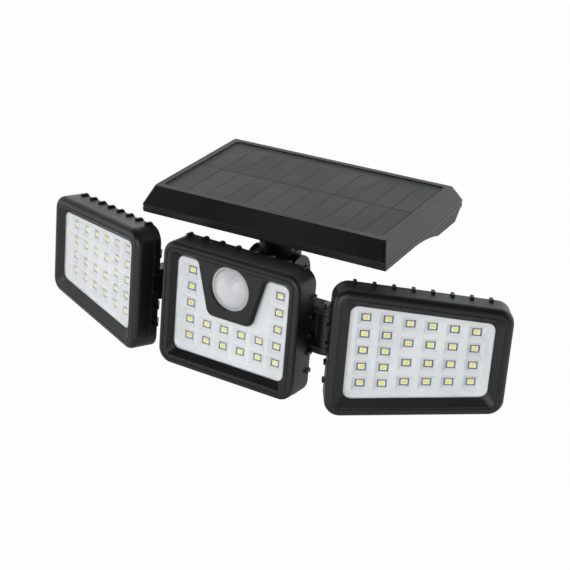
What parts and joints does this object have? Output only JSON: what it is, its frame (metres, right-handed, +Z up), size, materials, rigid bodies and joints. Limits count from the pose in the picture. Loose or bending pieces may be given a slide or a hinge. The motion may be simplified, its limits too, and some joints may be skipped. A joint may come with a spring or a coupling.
{
  "type": "solar motion sensor security light",
  "caption": "Wall-mounted solar floodlight with a motion sensor head, two folding side heads and a solar panel on a tilting, turning neck.",
  "frame": {"origin": "middle of the wall plate's back face, where it meets the wall", "axes": "+Y into the wall, -Y out to the front, +X right seen from the front, +Z up"},
  "size_m": [0.2883, 0.1607, 0.1353],
  "materials": {
    "black_plastic": "fine satin moulded ABS",
    "white_plastic": "white reflector plastic",
    "clear_cover": "clear polycarbonate",
    "lens_plastic": "milky polyethylene lens",
    "circuit_board": "solder mask",
    "led": "phosphor in a white body",
    "solar_cell": "dark silicon",
    "panel_sheet": "clear laminate",
    "battery_wrap": "plastic-wrapped steel can",
    "rubber": "silicone rubber",
    "steel": "zinc-plated"
  },
  "bodies": {
    "wall_bracket": {"wall_bracket": "black_plastic", "bracket_bolt": "steel", "bracket_nut": "steel"},
    "centre_head": {"centre_bezel": "black_plastic", "centre_case_screws": "steel", "centre_clear_cover": "clear_cover", "centre_gasket": "rubber", "centre_led_board": "circuit_board", "centre_leds": "led", "centre_rear_shell": "black_plastic", "centre_reflector": "white_plastic", "pir_baffle": "black_plastic", "pir_lens": "lens_plastic", "pir_sensor": "steel", "control_board": "circuit_board", "left_hinge_pin": "steel", "right_hinge_pin": "steel", "rear_housing": "black_plastic", "panel_tilt_bolt": "steel", "panel_tilt_nut": "steel", "power_switch": "black_plastic"},
    "left_head": {"left_bezel": "black_plastic", "left_case_screws": "steel", "left_clear_cover": "clear_cover", "left_gasket": "rubber", "left_led_board": "circuit_board", "left_leds": "led", "left_rear_shell": "black_plastic", "left_reflector": "white_plastic"},
    "right_head": {"right_bezel": "black_plastic", "right_case_screws": "steel", "right_clear_cover": "clear_cover", "right_gasket": "rubber", "right_led_board": "circuit_board", "right_leds": "led", "right_rear_shell": "black_plastic", "right_reflector": "white_plastic"},
    "neck": {"neck": "black_plastic", "turn_washer": "steel", "turn_screw": "steel"},
    "solar_panel": {"panel_frame": "black_plastic", "panel_clear_sheet": "panel_sheet", "solar_cells": "solar_cell", "panel_backing_board": "circuit_board", "panel_lower_shell": "black_plastic", "battery_cells": "battery_wrap", "panel_screws": "steel"},
    "power_button": {"power_button": "rubber"}
  },
  "joints": [
    {"name": "centre_tilt", "type": "hinge", "parent": "wall_bracket", "child": "centre_head", "pos_m": [0, -0.105, 0.045], "axis": [1, 0, 0], "range_deg": [-15, 35]},
    {"name": "right_head_fold", "type": "hinge", "parent": "centre_head", "child": "right_head", "pos_m": [0.05, -0.136, 0.0611], "axis": [0, 0, 1], "range_deg": [-38.7, 51.3]},
    {"name": "left_head_fold", "type": "hinge", "parent": "centre_head", "child": "left_head", "pos_m": [-0.05, -0.136, 0.0611], "axis": [0, 0, -1], "range_deg": [-27.1, 62.9]},
    {"name": "panel_tilt", "type": "hinge", "parent": "centre_head", "child": "neck", "pos_m": [0, -0.11, 0.0755], "axis": [1, 0, 0], "range_deg": [-35, 0]},
    {"name": "panel_turn", "type": "hinge", "parent": "neck", "child": "solar_panel", "pos_m": [0, -0.11, 0.0755], "axis": [0, -0.0875, 0.9962], "range_deg": [-24, 18]},
    {"name": "power_button_press", "type": "slide", "parent": "centre_head", "child": "power_button", "axis": [0, 0, 1], "range_m": [0, 0.0015], "stiffness_N_per_m": 600, "springref_m": -0.001}
  ]
}
